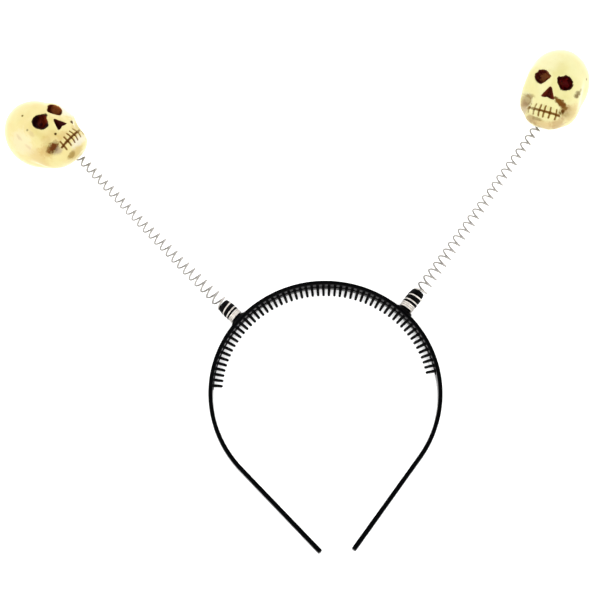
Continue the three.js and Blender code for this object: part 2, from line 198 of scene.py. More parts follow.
def strip_point(distance):
    """Centre line at a distance from the crown: x, y and the way outward."""
    left, turned, x, y = abs(distance), 0.0, 0.0, CROWN_RADIUS
    crown, side, _ = strip_half()
    for radius, length in ((CROWN_RADIUS, crown), (SIDE_RADIUS, side), (0, LEG_LENGTH)):
        step = min(left, length)
        turn = step / radius if radius else 0
        chord = 2 * radius * math.sin(turn / 2) if radius else step
        x += chord * math.cos(turned + turn / 2)
        y -= chord * math.sin(turned + turn / 2)
        turned += turn
        left -= step
    sign = -1 if distance < 0 else 1
    return np.array((sign * x, y)), np.array((sign * math.sin(turned), math.cos(turned)))


def strip_width(distance):
    return float(np.interp(abs(distance) / strip_half()[2], SIZE_SHARES, WIDTHS))


def strip_face(distance):
    """Half the thickness of the strip: how far its faces are from its centre line."""
    return float(np.interp(abs(distance) / strip_half()[2], SIZE_SHARES, THICKNESSES)) / 2


def beside_strip(distance, out, height):
    at, way = strip_point(distance)
    return np.array((*(at + out * way), height))


def rounded_bar(half_thick, low, high, corner):
    """Outline of a bar across the strip: outward offsets and heights, counted round it."""
    outline = []
    middles = ((1, 1), (-1, 1), (-1, -1), (1, -1))
    for quarter, (side, up) in enumerate(middles):
        out = side * (half_thick - corner)
        height = high - corner if up > 0 else low + corner
        for i in range(ROUND_STEPS + 1):
            a = math.radians(90 * (quarter + i / ROUND_STEPS))
            outline.append((out + corner * math.cos(a), height + corner * math.sin(a)))
    return outline


def bar_along(stations, section, corner):
    """Skin of a bar along the strip; its section is middle, half thickness, low and high edge."""
    rings = []
    for s, inset in stations:
        middle, half_thick, low, high = section(s)
        soft = max(corner - inset * CORNER_LOSS, LEAST_CORNER)
        outline = rounded_bar(half_thick - inset, low + inset, high - inset, soft)
        rings.append([beside_strip(s, middle + out, z) for out, z in outline])
    points, faces = loft(rings)
    return in_part(points), faces


def rounded_ends(reach, count, rounding):
    """Stations along the strip with the inset that rounds its two ends."""
    stations = [(s, 0.0) for s in np.linspace(-reach + rounding, reach - rounding, count)]
    ends = []
    for i in range(ROUND_STEPS + 1):
        a = math.radians(90 * i / ROUND_STEPS)
        ends.append((rounding * math.sin(a), rounding * (1 - math.cos(a)) * END_NARROWS))
    start = [(-reach + rounding - along, inset) for along, inset in reversed(ends[1:])]
    finish = [(reach - rounding + along, inset) for along, inset in ends[1:]]
    return start + stations + finish


def strip_section(s):
    return STRIP_MIDDLE, strip_face(s), 0, strip_width(s)


def rib_section(s):
    low = strip_width(s) / 2 - RIB_LOWER - RIB_HEIGHT / 2
    return STRIP_MIDDLE - strip_face(s), RIB_REACH, low, low + RIB_HEIGHT


def headband_strip():
    strip_ends = rounded_ends(strip_half()[2], STRIP_STATIONS, STRIP_END)
    strip = bar_along(strip_ends, strip_section, STRIP_CORNER)
    rib_reach = math.radians(TOOTH_SPREAD / 2 + RIB_PAST_TEETH) * CROWN_RADIUS
    rib = bar_along(rounded_ends(rib_reach, RIB_STATIONS, RIB_END), rib_section, RIB_CORNER)
    return together("headband_strip", strip, rib)


# Comb teeth and drawn wire

def new_tree(name, inputs, output=("Geometry", "Geometry"), kind="GeometryNodeTree"):
    """An empty tree with one output; inputs and output are named with their kinds."""
    tree = bpy.data.node_groups.new(name, kind)

    def socket(way, label, holds):
        return tree.interface.new_socket(label, in_out=way, socket_type=f"NodeSocket{holds}")

    sockets = {label: socket("INPUT", label, holds).identifier for label, holds in inputs.items()}
    socket("OUTPUT", *output)
    source = tree.nodes.new("NodeGroupInput")
    sink = tree.nodes.new("NodeGroupOutput")
    return tree, sockets, source, sink


def finish_tree(tree, source, sink, geometry):
    """Ends a tree: copies made real, then their finish."""
    realize = tree.nodes.new("GeometryNodeRealizeInstances")
    paint = tree.nodes.new("GeometryNodeSetMaterial")
    tree.links.new(geometry, realize.inputs["Geometry"])
    tree.links.new(realize.outputs["Geometry"], paint.inputs["Geometry"])
    tree.links.new(source.outputs["Finish"], paint.inputs["Material"])
    tree.links.new(paint.outputs["Geometry"], sink.inputs["Geometry"])


def made_by(tree, sockets, thing, values):
    """Runs a tree on an object and keeps the result as its plain mesh."""
    made = thing.modifiers.new(tree.name, "NODES")
    made.node_group = tree
    for label, value in values.items():
        made[sockets[label]] = value
    graph = bpy.context.evaluated_depsgraph_get()
    mesh = bpy.data.meshes.new_from_object(
        thing.evaluated_get(graph), preserve_all_data_layers=True, depsgraph=graph
    )
    thing.modifiers.remove(made)
    thing.data = mesh
    mesh.shade_smooth()
    return thing


def comb_tree():
    inputs = {"Geometry": "Geometry", "Tooth": "Object", "Finish": "Material"}
    tree, sockets, source, sink = new_tree("comb teeth", inputs)
    tooth = tree.nodes.new("GeometryNodeObjectInfo")
    inward = tree.nodes.new("GeometryNodeInputNamedAttribute")
    inward.data_type = "FLOAT_VECTOR"
    inward.inputs["Name"].default_value = "inward"
    turn = tree.nodes.new("FunctionNodeAlignRotationToVector")
    turn.axis = "Y"
    turn.pivot_axis = "Z"
    place = tree.nodes.new("GeometryNodeInstanceOnPoints")
    tree.links.new(source.outputs["Tooth"], tooth.inputs["Object"])
    tree.links.new(inward.outputs["Attribute"], turn.inputs["Vector"])
    tree.links.new(source.outputs["Geometry"], place.inputs["Points"])
    tree.links.new(tooth.outputs["Geometry"], place.inputs["Instance"])
    tree.links.new(turn.outputs["Rotation"], place.inputs["Rotation"])
    finish_tree(tree, source, sink, place.outputs["Instances"])
    return tree, sockets


def wire_tree():
    inputs = {"Geometry": "Geometry", "Wire Radius": "Float", "Sides": "Int", "Finish": "Material"}
    tree, sockets, source, sink = new_tree("drawn wire", inputs)
    path = tree.nodes.new("GeometryNodeMeshToCurve")
    round_wire = tree.nodes.new("GeometryNodeCurvePrimitiveCircle")
    sweep = tree.nodes.new("GeometryNodeCurveToMesh")
    sweep.inputs["Fill Caps"].default_value = True
    tree.links.new(source.outputs["Geometry"], path.inputs["Mesh"])
    tree.links.new(source.outputs["Wire Radius"], round_wire.inputs["Radius"])
    tree.links.new(source.outputs["Sides"], round_wire.inputs["Resolution"])
    tree.links.new(path.outputs["Curve"], sweep.inputs["Curve"])
    tree.links.new(round_wire.outputs["Curve"], sweep.inputs["Profile Curve"])
    finish_tree(tree, source, sink, sweep.outputs["Mesh"])
    return tree, sockets


def tooth_place(i):
    share = (i - (TOOTH_COUNT - 1) / 2) / (TOOTH_COUNT - 1)
    return math.radians(TOOTH_SPREAD * share) * CROWN_RADIUS


def comb_tooth():
    """One round-ended comb tooth that points along +Y from its root."""
    rings = []
    for row in TOOTH_RINGS:
        ring = []
        for i in range(TOOTH_SIDES):
            a = 2 * math.pi * i / TOOTH_SIDES
            across, up = math.cos(a), math.sin(a)
            boxy = (across**4 + up**4) ** -0.25
            ring.append((row["half_width"] * across * boxy, row["reach"], row["half_depth"] * up * boxy))
        rings.append(ring)
    return together("comb_tooth", loft(rings))


def comb_teeth(finish):
    roots, inward = [], []
    for i in range(TOOTH_COUNT):
        s = tooth_place(i)
        roots.append(in_part(beside_strip(s, STRIP_MIDDLE - strip_face(s), strip_width(s) / 2)))
        inward.append((*(-strip_point(s)[1]), 0.0))
    row = mesh_object("comb_teeth", roots)
    ways = row.data.attributes.new("inward", "FLOAT_VECTOR", "POINT")
    ways.data.foreach_set("vector", np.ravel(inward))
    tooth = comb_tooth()
    tree, sockets = comb_tree()
    made_by(tree, sockets, row, {"Tooth": tooth, "Finish": finish})
    bpy.data.objects.remove(tooth)
    return row


# Posts and springs

def post_frame(side):
    row = POSTS[side]
    s = row["sign"] * math.radians(row["angle"]) * CROWN_RADIUS
    foot = beside_strip(s, SOLID_FACE + row["seat_gap"], strip_width(s) / 2)
    way = math.radians(row["angle"] - row["lean"])
    return foot, np.array((row["sign"] * math.sin(way), math.cos(way), 0.0))


def lying_turn(row):
    """Turn of a skull from upright, face to -Y, to the way it lies."""
    h, r, s = (math.radians(row[k]) for k in ("heading", "rise", "spin"))
    crown = np.array((math.cos(r) * math.cos(h), math.cos(r) * math.sin(h), math.sin(r)))
    upmost = np.array((-math.sin(r) * math.cos(h), -math.sin(r) * math.sin(h), math.cos(r)))
    face = upmost * math.cos(s) + np.cross(crown, upmost) * math.sin(s)
    return np.column_stack((np.cross(-face, crown), -face, crown))


class SpringLine:
    """Middle line of a spring: straight on its post, then bent gently to the skull."""

    def __init__(self, foot, out, seat, drift):
        start = foot + out * SPRING_FOOT
        bend = start + out * SPRING_BEND * np.linalg.norm(seat - start)
        u = np.linspace(0, 1, LINE_POINTS)[:, None]
        drifted = np.clip((u - DRIFT_FROM) / DRIFT_RUN, 0, 1)
        drifted = drifted * drifted * (3 - 2 * drifted)
        self.points = (1 - u) ** 2 * start + 2 * u * (1 - u) * bend + u**2 * seat
        self.points += drift * drifted * np.cross(out, UP)
        steps = np.linalg.norm(np.diff(self.points, axis=0), axis=1)
        self.run = np.concatenate(((0,), np.cumsum(steps)))
        self.length = self.run[-1]

    def at(self, height):
        return np.array([np.interp(height, self.run, self.points[:, k]) for k in range(3)])

    def ahead(self, height):
        h = min(max(height, LINE_PROBE), self.length - LINE_PROBE)
        way = self.at(h + LINE_PROBE) - self.at(h - LINE_PROBE)
        return way / np.linalg.norm(way)


def turns_on(line, post):
    """Turns of a spring on its line, each with the rise of one turn and its coil radius."""
    rows = [dict(row, rise=row["rise"] * post.get(row["rises_with"], 1)) for row in SPRING_TURNS]
    fixed = sum(row["turns"] * row["rise"] for row in rows)
    for row in rows:
        row["rise"] = row["rise"] or (line.length - fixed) / row["turns"]
    return rows


def coil_at(turn, rows):
    height, left, radius = 0.0, turn, rows[0]["radius"]
    for row in rows:
        step = min(left, row["turns"])
        height += step * row["rise"]
        radius += (row["radius"] - radius) * step / row["turns"]
        left -= step
    return height, radius


def coil_points(line, rows, steps_per_turn=22):
    """Middle of the wire from the flange to the skull, and how far each place is from the post."""
    points, freedom = [], []
    for step in range(int(sum(row["turns"] for row in rows) * steps_per_turn) + 1):
        turn = step / steps_per_turn
        height, radius = coil_at(turn, rows)
        ahead = line.ahead(height)
        side = np.cross(ahead, UP)
        side /= np.linalg.norm(side)
        lift = np.cross(side, ahead)
        a = -2 * math.pi * turn
        points.append(line.at(height) + radius * (math.cos(a) * side + math.sin(a) * lift))
        freedom.append(np.interp(turn, (FREE_FROM, FREE_FULL), (0, 1)))
    return points, freedom


def lathe(foot, out, profile, sides=48):
    """Closed skin of a turned shape along a way: profile is radius and height."""
    across = np.cross(out, UP)
    rings = []
    for radius, height in profile:
        ring = []
        for i in range(sides):
            a = 2 * math.pi * i / sides
            way = math.cos(a) * across + math.sin(a) * UP
            ring.append(foot + out * height + radius * way)
        rings.append(ring)
    return loft(rings)


def thread_ridge(foot, out, rows, length, steps_per_turn=30):
    """Ridge that winds round a post between one turn of wire and the next."""
    across = np.cross(out, UP)
    end = length - THREAD_END_GAP
    rings = []
    for step in range(int(THREAD_FROM * steps_per_turn) + 1, int(THREAD_TO * steps_per_turn) + 1):
        turn = step / steps_per_turn
        a = -2 * math.pi * turn
        way = math.cos(a) * across + math.sin(a) * UP
        low = SPRING_FOOT + coil_at(turn, rows)[0] + THREAD_MARGIN
        high = min(SPRING_FOOT + coil_at(turn + 1, rows)[0] - THREAD_MARGIN, end)
        if high - low < THREAD_LEAST:
            continue
        soft = min(THREAD_CORNER, (high - low) / 3)
        taper = (end - THREAD_TAPER, end)
        low_top, top = np.interp((low, high), taper, (THREAD_RADIUS, THREAD_END_RADIUS))
        corners = (
            (THREAD_ROOT, low),
            (low_top - soft, low),
            (low_top - THREAD_CHAMFER, low + THREAD_CHAMFER),
            (low_top, low + soft),
            (top, high - soft),
            (top - THREAD_CHAMFER, high - THREAD_CHAMFER),
            (top - soft, high),
            (THREAD_ROOT, high),
        )
        rings.append([foot + way * reach + out * height for reach, height in corners])
    return loft(rings)


def spring_post(side, rows):
    foot, out = post_frame(side)
    length = POSTS[side]["length"]
    profile = FLANGE_PROFILE + tuple((radius, length + height) for radius, height in CORE_END_PROFILE)
    body, body_faces = lathe(foot, out, profile)
    ridge, ridge_faces = thread_ridge(foot, out, rows, length)
    return together(f"spring_post_{side}", (in_part(body), body_faces), (in_part(ridge), ridge_faces))


# Skull: rounded masses blended into one, then carved

MASSES = (
    dict(mass="cranium", at=(0, -0.6, 5.5), half=(17.4, 17.5, 19.2)),
    dict(mass="lower head", at=(0, -5.6, -6.0), half=(16.5, 13.2, 13.8)),
    dict(mass="cheekbone", at=(10.4, -10.3, -3.4), half=(4.3, 5.0, 3.3)),
    dict(mass="eye rim", at=(10.7, -9.8, 3.6), half=(5.4, 6.3, 7.2)),
    dict(mass="tooth arch", at=(0, -9.0, -12.3), half=(9.6, 8.6, 5.9)),
    dict(mass="chin", at=(0, -11.3, -16.1), half=(9.0, 6.3, 4.8)),
)
DIPS = (
    dict(dip="temple", at=(22.1, -11.5, 7.3), half=(3.8, 6.3, 6.3)),
    dict(dip="cheek hollow", at=(13.0, -16.7, -9.5), half=(3.5, 4.7, 3.5)),
    dict(dip="lip", at=(0, -21.4, -17.2), half=(7.3, 4.2, 1.4)),
)
# Low swellings and hollows of the face: place, half sizes and how far the surface moves out
RELIEF = (
    dict(form="brow", at=(6.6, -16.4, 9.4), half=(5.2, 4.5, 2.1), out=0.55),
    dict(form="brow middle", at=(0, -18.2, 6.4), half=(3.0, 4, 2.6), out=0.35),
    dict(form="nose bridge", at=(0, -18.6, 2.2), half=(1.8, 3.5, 2.6), out=0.5),
    dict(form="cheekbone crest", at=(11.2, -14.2, -3.2), half=(5.2, 5.5, 1.9), out=0.25),
    dict(form="temple flat", at=(15.5, -8.5, 4.0), half=(5, 5, 7), out=-0.9),
    dict(form="under cheekbone", at=(12.2, -12.5, -8.6), half=(4.2, 6, 2.9), out=-0.8),
    dict(form="cheek pocket", at=(10.2, -13.2, -9.2), half=(2.4, 4.5, 1.9), out=-1.1),
    dict(form="jaw corner", at=(12.6, -4.5, -12.8), half=(4, 4.2, 4.0), out=0.5),
    dict(form="behind jaw", at=(14.2, 2.6, -9.5), half=(4.5, 3.0, 7), out=-0.9),
    dict(form="upper gum", at=(0, -18.6, -9.2), half=(8, 4, 1.3), out=-0.25),
    dict(form="chin boss", at=(0, -17.4, -18.8), half=(4.6, 4, 1.9), out=0.4),
)
SKULL_BLEND = 4
EYE_AT, EYE_HALF = (6.7, -17.2, 5.4), (3.9, 5.2, 3.8)
EYE_CORNER_AT, EYE_CORNER_HALF = (3.6, -17.6, 6.2), (1.8, 3.6, 1.4)
EYE_FLAT_WAY, EYE_FLAT_REACH = (-0.8, -0.6), 3.4
NOSE_TOP, NOSE_FOOT, NOSE_FRONT, NOSE_BACK = 1.3, -5.0, -19, -15.0
NOSE_HALF_WIDTH, NOSE_POINT_HALF, NOSE_NOTCH = 4.2, 0.45, 0.5
NOSE_BACK_SHARE, NOSE_FRONT_SHARE = 0.35, 1.1
# How steep the distance is beside the nose's sides, top and foot
NOSE_SIDE_SLOPE, NOSE_TOP_SLOPE, NOSE_FOOT_SLOPE = 0.87, 0.9, 0.95
# Rounding of the sockets' corners, the nose's back and both rims
CORNER_BLEND, NOSE_BACK_BLEND, EYE_RIM_BLEND, NOSE_RIM_BLEND = 1.0, 1.5, 0.9, 0.7
MOUTH_MIDDLE_Y, MOUTH_Z, MOUTH_HALF_ANGLE, MOUTH_SLANT = -7.3, -12.6, 47, 0.02
TOOTH_LINES, TOOTH_LINE_REACH, TOOTH_LINE_SHORTER, TOOTH_LINE_LEAN = 6, 3.1, 0.2, 0.02
TOOTH_LINE_FROM, TOOTH_LINE_TO, TOOTH_LINE_JITTER, TOOTH_LINE_SEED = -41, 35, 1.6, 7
# Swelling of the teeth between their lines, and the grooves of the mouth line and tooth lines
ARCH_OUT, ARCH_HALF_HEIGHT, ARCH_HALF_ANGLE, ARCH_FRONT, ARCH_EDGE = 0.4, 3.0, 50, -8, 0.7
MOUTH_DEPTH, MOUTH_HALF_WIDTH = 0.55, 0.42
TOOTH_LINE_DEPTH, TOOTH_LINE_HALF_WIDTH = 0.3, 0.34
# Slow unevenness of the moulding: how far out, waves for each millimetre, and where they start
UNEVEN_OUT, UNEVEN_WAVES, UNEVEN_STARTS = 0.12, (0.37, 0.31, 0.34), (1.3, 0.4, 2.1)
FAR_OFF = 30
SKIN_OUT, SKULL_CUT, SUNK_FROM = 0.3, 0.8, 0.1
VOXEL, GRID_START, GRID_SIZE = 0.36, (-19.5, -23.0, -25.5), (39.0, 43.5, 53.0)
SETTLE_ROUNDS, SETTLE_PROBE, SETTLE_MOST, LEAST_SLOPE = 3, 0.05, 0.2, 0.3


def ellipsoid_distance(p, at, half):
    """Signed distance to an ellipsoid and its mirror image across x."""
    x, y, z = np.abs(p[0]) - at[0], p[1] - at[1], p[2] - at[2]
    rx, ry, rz = half
    level = np.sqrt((x / rx) ** 2 + (y / ry) ** 2 + (z / rz) ** 2)
    slope = np.sqrt((x / rx**2) ** 2 + (y / ry**2) ** 2 + (z / rz**2) ** 2)
    return level * (level - 1) / np.maximum(slope, 1e-6)


def blended(a, b, blend):
    """The nearer of two distances, rounded where they meet."""
    share = np.maximum(blend - np.abs(a - b), 0) / blend
    return np.minimum(a, b) - share * share * blend / 4


def eye_distance(p):
    """Distance to an eye socket: round, pointed to the nose bridge, flattened over the nose."""
    rounded = ellipsoid_distance(p, EYE_AT, EYE_HALF)
    rounded = blended(rounded, ellipsoid_distance(p, EYE_CORNER_AT, EYE_CORNER_HALF), CORNER_BLEND)
    flat = (np.abs(p[0]) - EYE_AT[0]) * EYE_FLAT_WAY[0] + (p[2] - EYE_AT[2]) * EYE_FLAT_WAY[1]
    return -blended(-rounded, EYE_FLAT_REACH - flat, CORNER_BLEND)


def nose_distance(p):
    """Distance to the nose opening: a triangle with its point up, notched at the foot."""
    across, down = np.abs(p[0]), (NOSE_TOP - p[2]) / (NOSE_TOP - NOSE_FOOT)
    forward = (p[1] - NOSE_BACK) / (NOSE_FRONT - NOSE_BACK)
    width_share = np.clip(forward, NOSE_BACK_SHARE, NOSE_FRONT_SHARE)
    half_width = NOSE_POINT_HALF + (NOSE_HALF_WIDTH - NOSE_POINT_HALF) * down
    side = (across - half_width * width_share) * NOSE_SIDE_SLOPE
    top = (p[2] - NOSE_TOP) * NOSE_TOP_SLOPE
    foot = (NOSE_FOOT + NOSE_NOTCH * np.exp(-(across**2)) - p[2]) * NOSE_FOOT_SLOPE
    back = p[1] - NOSE_BACK
    edge = -blended(-side, -top, CORNER_BLEND)
    edge = -blended(-edge, -foot, CORNER_BLEND)
    return -blended(-edge, -back, NOSE_BACK_BLEND)


def tooth_line_angles():
    even = np.linspace(TOOTH_LINE_FROM, TOOTH_LINE_TO, TOOTH_LINES)
    chance = np.random.default_rng(TOOTH_LINE_SEED)
    return even + chance.uniform(-TOOTH_LINE_JITTER, TOOTH_LINE_JITTER, TOOTH_LINES)


def muzzle_lines(p):
    """Distance along the skin from the mouth line and from the nearest tooth line."""
    ahead = -(p[1] - MOUTH_MIDDLE_Y)
    angle = np.degrees(np.arctan2(p[0], np.maximum(ahead, 1e-3)))
    around = np.hypot(p[0], ahead)
    per_degree = np.radians(1) * around
    up = p[2] - (MOUTH_Z + MOUTH_SLANT * p[0])
    past = np.maximum(np.abs(angle) - MOUTH_HALF_ANGLE, 0) * per_degree
    behind = np.where(ahead > 0, 0, FAR_OFF)
    mouth = np.hypot(past, up) + behind
    teeth = np.full_like(up, 2.0 * FAR_OFF)
    for k, line in enumerate(tooth_line_angles()):
        reach = TOOTH_LINE_REACH - TOOTH_LINE_SHORTER * abs(k - (TOOTH_LINES - 1) / 2)
        past = np.maximum(np.abs(up) - reach, 0)
        lean = line * (1 - TOOTH_LINE_LEAN * up)
        teeth = np.minimum(teeth, np.hypot((angle - lean) * per_degree, past))
    return mouth, teeth + behind, up, angle


def skull_form(p):
    """Distance to the skull before its eyes and nose are opened."""
    d = None
    for row in MASSES:
        one = ellipsoid_distance(p, row["at"], row["half"])
        d = one if d is None else blended(d, one, SKULL_BLEND)
    for row in DIPS:
        d = -blended(-d, ellipsoid_distance(p, row["at"], row["half"]), SKULL_BLEND)
    for row in RELIEF:
        x, y, z = row["at"]
        rx, ry, rz = row["half"]
        near = ((np.abs(p[0]) - x) / rx) ** 2 + ((p[1] - y) / ry) ** 2 + ((p[2] - z) / rz) ** 2
        d = d - row["out"] * np.exp(-near)
    mouth, teeth, up, angle = muzzle_lines(p)
    arch = np.exp(-((up / ARCH_HALF_HEIGHT) ** 4)) * np.exp(-((angle / ARCH_HALF_ANGLE) ** 6))
    arch = arch * (p[1] < ARCH_FRONT)
    d = d - ARCH_OUT * arch * (1 - np.exp(-((teeth / ARCH_EDGE) ** 2)))
    d = d + MOUTH_DEPTH * np.exp(-((mouth / MOUTH_HALF_WIDTH) ** 2))
    d = d + TOOTH_LINE_DEPTH * np.exp(-((teeth / TOOTH_LINE_HALF_WIDTH) ** 2))
    wave = 1
    for n in range(3):
        wave = wave * np.sin(UNEVEN_WAVES[n] * p[n] + UNEVEN_STARTS[n])
    d = d - UNEVEN_OUT * wave
    return np.maximum(d - SKIN_OUT, SKULL_FLOOR - SKULL_CUT - p[2])


def skull_distance(p):
    """Distance to the skull with its eyes and nose opened."""
    d = -blended(-skull_form(p), eye_distance(p), EYE_RIM_BLEND)
    return -blended(-d, nose_distance(p), NOSE_RIM_BLEND)


def surface_net(values, start, step):
    """A closed quad mesh where a grid of signed distances changes sign."""
    inside = values < 0
    cells = tuple(n - 1 for n in values.shape)
    total = np.zeros((*cells, 3))
    hits = np.zeros(cells)
    corner = [(i, j, k) for i in (0, 1) for j in (0, 1) for k in (0, 1)]

    def at(grid, c):
        return grid[c[0] : c[0] + cells[0], c[1] : c[1] + cells[1], c[2] : c[2] + cells[2]]

    for a in corner:
        for axis in range(3):
            if a[axis]:
                continue
            b = tuple(v + (1 if n == axis else 0) for n, v in enumerate(a))
            va, vb = at(values, a), at(values, b)
            cross = at(inside, a) != at(inside, b)
            t = np.where(cross, va / np.where(cross, va - vb, 1), 0)
            for n in range(3):
                total[..., n] += np.where(cross, a[n] + (t if n == axis else 0), 0)
            hits += cross
    active = hits > 0
    number = np.full(cells, -1)
    number[active] = np.arange(active.sum())
    where = np.argwhere(active)
    points = start + step * (where + total[active] / hits[active][:, None])
    faces = []
    for axis in range(3):
        u, v = (axis + 1) % 3, (axis + 2) % 3
        lo = [slice(1, -1)] * 3
        hi = [slice(1, -1)] * 3
        lo[axis], hi[axis] = slice(0, -1), slice(1, None)
        first, second = inside[tuple(lo)], inside[tuple(hi)]
        edge = np.argwhere(first != second)
        grows = first[tuple(edge.T)]
        base = edge.copy()
        base[:, u] += 1
        base[:, v] += 1
        ring = []
        for du, dv in ((-1, -1), (0, -1), (0, 0), (-1, 0)):
            cell = base.copy()
            cell[:, u] += du
            cell[:, v] += dv
            ring.append(number[tuple(cell.T)])
        quad = np.column_stack(ring)
        quad[~grows] = quad[~grows][:, ::-1]
        faces.append(quad)
    return points, np.concatenate(faces)


def skull_skin():
    """Points and quads of the upright skull in millimetres, and the place under each point."""
    start = np.array(GRID_START)
    axes = [start[n] + VOXEL * np.arange(int(GRID_SIZE[n] / VOXEL)) for n in range(3)]
    grid = np.meshgrid(*axes, indexing="ij")
    points, faces = surface_net(skull_distance(grid), start, VOXEL)
    for _ in range(SETTLE_ROUNDS):
        here = skull_distance(points.T)
        slopes = []
        for n in np.eye(3) * SETTLE_PROBE:
            rise = skull_distance((points + n).T) - skull_distance((points - n).T)
            slopes.append(rise / (2 * SETTLE_PROBE))
        slope = np.column_stack(slopes)
        move = here / np.maximum((slope**2).sum(1), LEAST_SLOPE)
        points = points - np.clip(move, -SETTLE_MOST, SETTLE_MOST)[:, None] * slope
    return points, faces, points - SKIN_OUT * slope


SKULL_POINTS, SKULL_FACES, PAINT_PLACES = skull_skin()


def carved_skull(side):
    """The skull as it lies, with its own upright place and carving distances on its skin."""
    row = SKULLS[side]
    turn = lying_turn(row)
    lying = SKULL_POINTS @ turn.T
    place = in_part((row["x"], row["y"], -lying[:, 2].min()))
    thing = mesh_object(f"carved_skull_{side}", lying + place, SKULL_FACES.tolist())
    mouth, teeth, _, _ = muzzle_lines(SKULL_POINTS.T)
    sunk = np.minimum(skull_form(SKULL_POINTS.T) + SUNK_FROM, 0)
    fields = {
        "eye_edge": eye_distance(SKULL_POINTS.T) + sunk,
        "nose_edge": nose_distance(SKULL_POINTS.T) + sunk,
        "mouth_line": mouth,
        "tooth_line": teeth,
    }
    for name, values in fields.items():
        layer = thing.data.attributes.new(name, "FLOAT", "POINT")
        layer.data.foreach_set("value", values.astype(np.float32))
    upright = thing.data.attributes.new("upright", "FLOAT_VECTOR", "POINT")
    upright.data.foreach_set("vector", PAINT_PLACES.astype(np.float32).ravel())
    seat = turn @ np.array((row["seat_x"], row["seat_y"], SKULL_FLOOR + SOCKET_DEPTH)) + place
    return thing, seat - in_part((0, 0, 0))


# Finishes

# Share of the seen colour that paint has, as the studio light is bright
PAINT_SHARE = 0.345
WASH_AND_PAINTED_LIGHT_RAGGED, LINE_RAGGED = 0.32, 0.16
# Where a spot of brown wash, painted shade and painted light alike fades out and where it is full, by
# share of its half size
SPOT_EDGE = (1.1, 0.45)
IVORY_ROUGHNESS = (0.3, 0.42)
# Greys of the paint from bare matt brown to coated ivory
COATED_GREYS = (0.08, 0.26)


def new_finish(name):
    finish = bpy.data.materials.new(name)
    finish.use_nodes = True
    return finish, finish.node_tree, finish.node_tree.nodes["Principled BSDF"]


def noise(tree, scale, detail=3.0, rough=0.5, source=None):
    node = tree.nodes.new("ShaderNodeTexNoise")
    node.inputs["Scale"].default_value = scale
    node.inputs["Detail"].default_value = detail
    node.inputs["Roughness"].default_value = rough
    if source is None:
        source = tree.nodes.new("ShaderNodeTexCoord").outputs["Object"]
    tree.links.new(source, node.inputs["Vector"])
    return node.outputs["Fac"]


def field(tree, name):
    node = tree.nodes.new("ShaderNodeAttribute")
    node.attribute_name = name
    return node


def three_ways(tree, place):
    node = tree.nodes.new("ShaderNodeSeparateXYZ")
    tree.links.new(place, node.inputs["Vector"])
    return node.outputs["X"], node.outputs["Y"], node.outputs["Z"]


def spread(tree, value, low, high, out_low=0.0, out_high=1.0, smooth=False):
    """A value that goes evenly from one range to another."""
    node = tree.nodes.new("ShaderNodeMapRange")
    if smooth:
        node.interpolation_type = "SMOOTHSTEP"
    node.inputs["From Min"].default_value = low
    node.inputs["From Max"].default_value = high
    node.inputs["To Min"].default_value = out_low
    node.inputs["To Max"].default_value = out_high
    tree.links.new(value, node.inputs["Value"])
    return node.outputs["Result"]


def uneven(tree, place, most, scale, detail, rough):
    """Noise that goes as far below nothing as above it."""
    return spread(tree, noise(tree, scale, detail, rough, place), 0.25, 0.75, -most, most)


def feed(tree, socket, value):
    """Links a socket to an output, or sets it to a plain value."""
    if isinstance(value, bpy.types.NodeSocket):
        tree.links.new(value, socket)
    else:
        socket.default_value = value


def mix(tree, share, a, b):
    node = tree.nodes.new("ShaderNodeMix")
    node.data_type = "RGBA"
    for socket, value in ((node.inputs[0], share), (node.inputs[6], a), (node.inputs[7], b)):
        feed(tree, socket, value)
    return node.outputs[2]


def step_node(tree, operation, *values, kind="ShaderNodeVectorMath"):
    node = tree.nodes.new(kind)
    node.operation = operation
    for socket, value in zip(node.inputs, values):
        feed(tree, socket, value)
    return node


def combine(tree, operation, a, b):
    return step_node(tree, operation, a, b, kind="ShaderNodeMath").outputs["Value"]


def bumped(tree, height, strength, distance):
    node = tree.nodes.new("ShaderNodeBump")
    node.inputs["Strength"].default_value = strength
    node.inputs["Distance"].default_value = distance
    tree.links.new(height, node.inputs["Height"])
    return node.outputs["Normal"]


def shade(hex_colour):
    """Linear colour of a six-digit hex colour."""
    parts = [int(hex_colour[i : i + 2], 16) / 255 for i in (0, 2, 4)]
    return (*[c / 12.92 if c <= 0.04045 else ((c + 0.055) / 1.055) ** 2.4 for c in parts], 1.0)


def paint(hex_colour):
    """Paint that looks this colour in the bright studio light."""
    return (*[c * PAINT_SHARE for c in shade(hex_colour)[:3]], 1.0)


def black_moulding(name, rough_low, rough_high, gloss):
    finish, tree, skin = new_finish(name)
    flow = noise(tree, scale=220, detail=4)
    colour = mix(tree, flow, (0.0004, 0.0004, 0.0005, 1), (0.001, 0.001, 0.0012, 1))
    tree.links.new(colour, skin.inputs["Base Color"])
    haze = spread(tree, noise(tree, scale=90, detail=5), 0.3, 0.7, rough_low, rough_high)
    tree.links.new(haze, skin.inputs["Roughness"])
    skin.inputs["Specular IOR Level"].default_value = gloss
    grain = noise(tree, scale=600, detail=2)
    tree.links.new(bumped(tree, grain, strength=0.05, distance=0.0002), skin.inputs["Normal"])
    return finish


def drawn_steel():
    finish, tree, skin = new_finish("drawn_steel")
    draw = noise(tree, scale=900)
    # Painted highlight: one steel, coloured brighter where the wire is wound on the post than along its
    # free turns.
    bright = mix(tree, draw, shade("9d9892"), shade("b6b1ab"))
    dull = mix(tree, draw, shade("6d6b67"), shade("84817c"))
    colour = mix(tree, field(tree, "freedom").outputs["Fac"], bright, dull)
    tree.links.new(colour, skin.inputs["Base Color"])
    skin.inputs["Metallic"].default_value = 1.0
    rub = noise(tree, scale=300, detail=4)
    tree.links.new(spread(tree, rub, 0.3, 0.7, 0.22, 0.4), skin.inputs["Roughness"])
    tree.links.new(bumped(tree, draw, strength=0.1, distance=0.00005), skin.inputs["Normal"])
    return finish


